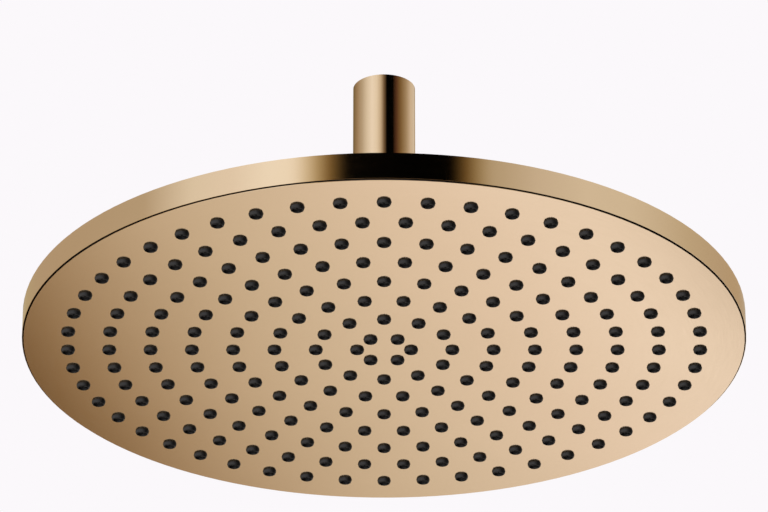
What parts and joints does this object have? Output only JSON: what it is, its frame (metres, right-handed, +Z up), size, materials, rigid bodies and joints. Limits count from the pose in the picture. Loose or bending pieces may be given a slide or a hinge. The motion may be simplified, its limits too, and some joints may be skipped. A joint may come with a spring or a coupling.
{
  "type": "rain shower head",
  "caption": "Round flat rain shower head on a straight ceiling pipe, with rings of short rubber nozzles in its face and a dark seal line round its rim.",
  "frame": {"origin": "middle of the pipe's top end, in the plane of the ceiling", "axes": "+Z up along the pipe's axis; the head hangs below, with its face down; +X runs through one nozzle of every ring"},
  "size_m": [0.3, 0.3, 0.1251],
  "materials": {
    "bronze": "satin champagne bronze, finely brushed",
    "bronze_face": "satin champagne bronze, finely brushed",
    "raw_brass": "plain turned brass",
    "black_rubber": "smooth black rubber",
    "white_plastic": "plain moulded plastic",
    "steel_mesh": "fine stainless mesh"
  },
  "bodies": {
    "root": {"ceiling_pipe": "bronze", "inlet_insert": "raw_brass", "outlet_insert": "raw_brass", "cover": "bronze", "face_plate": "bronze_face", "rim_seal": "black_rubber", "nozzles": "black_rubber", "hub": "raw_brass", "hub_gasket": "black_rubber", "flow_limiter": "white_plastic", "filter_screen": "steel_mesh", "filter_washer": "black_rubber", "post_1": "raw_brass", "post_2": "raw_brass", "post_3": "raw_brass", "post_4": "raw_brass", "post_5": "raw_brass", "post_6": "raw_brass"}
  },
  "joints": []
}
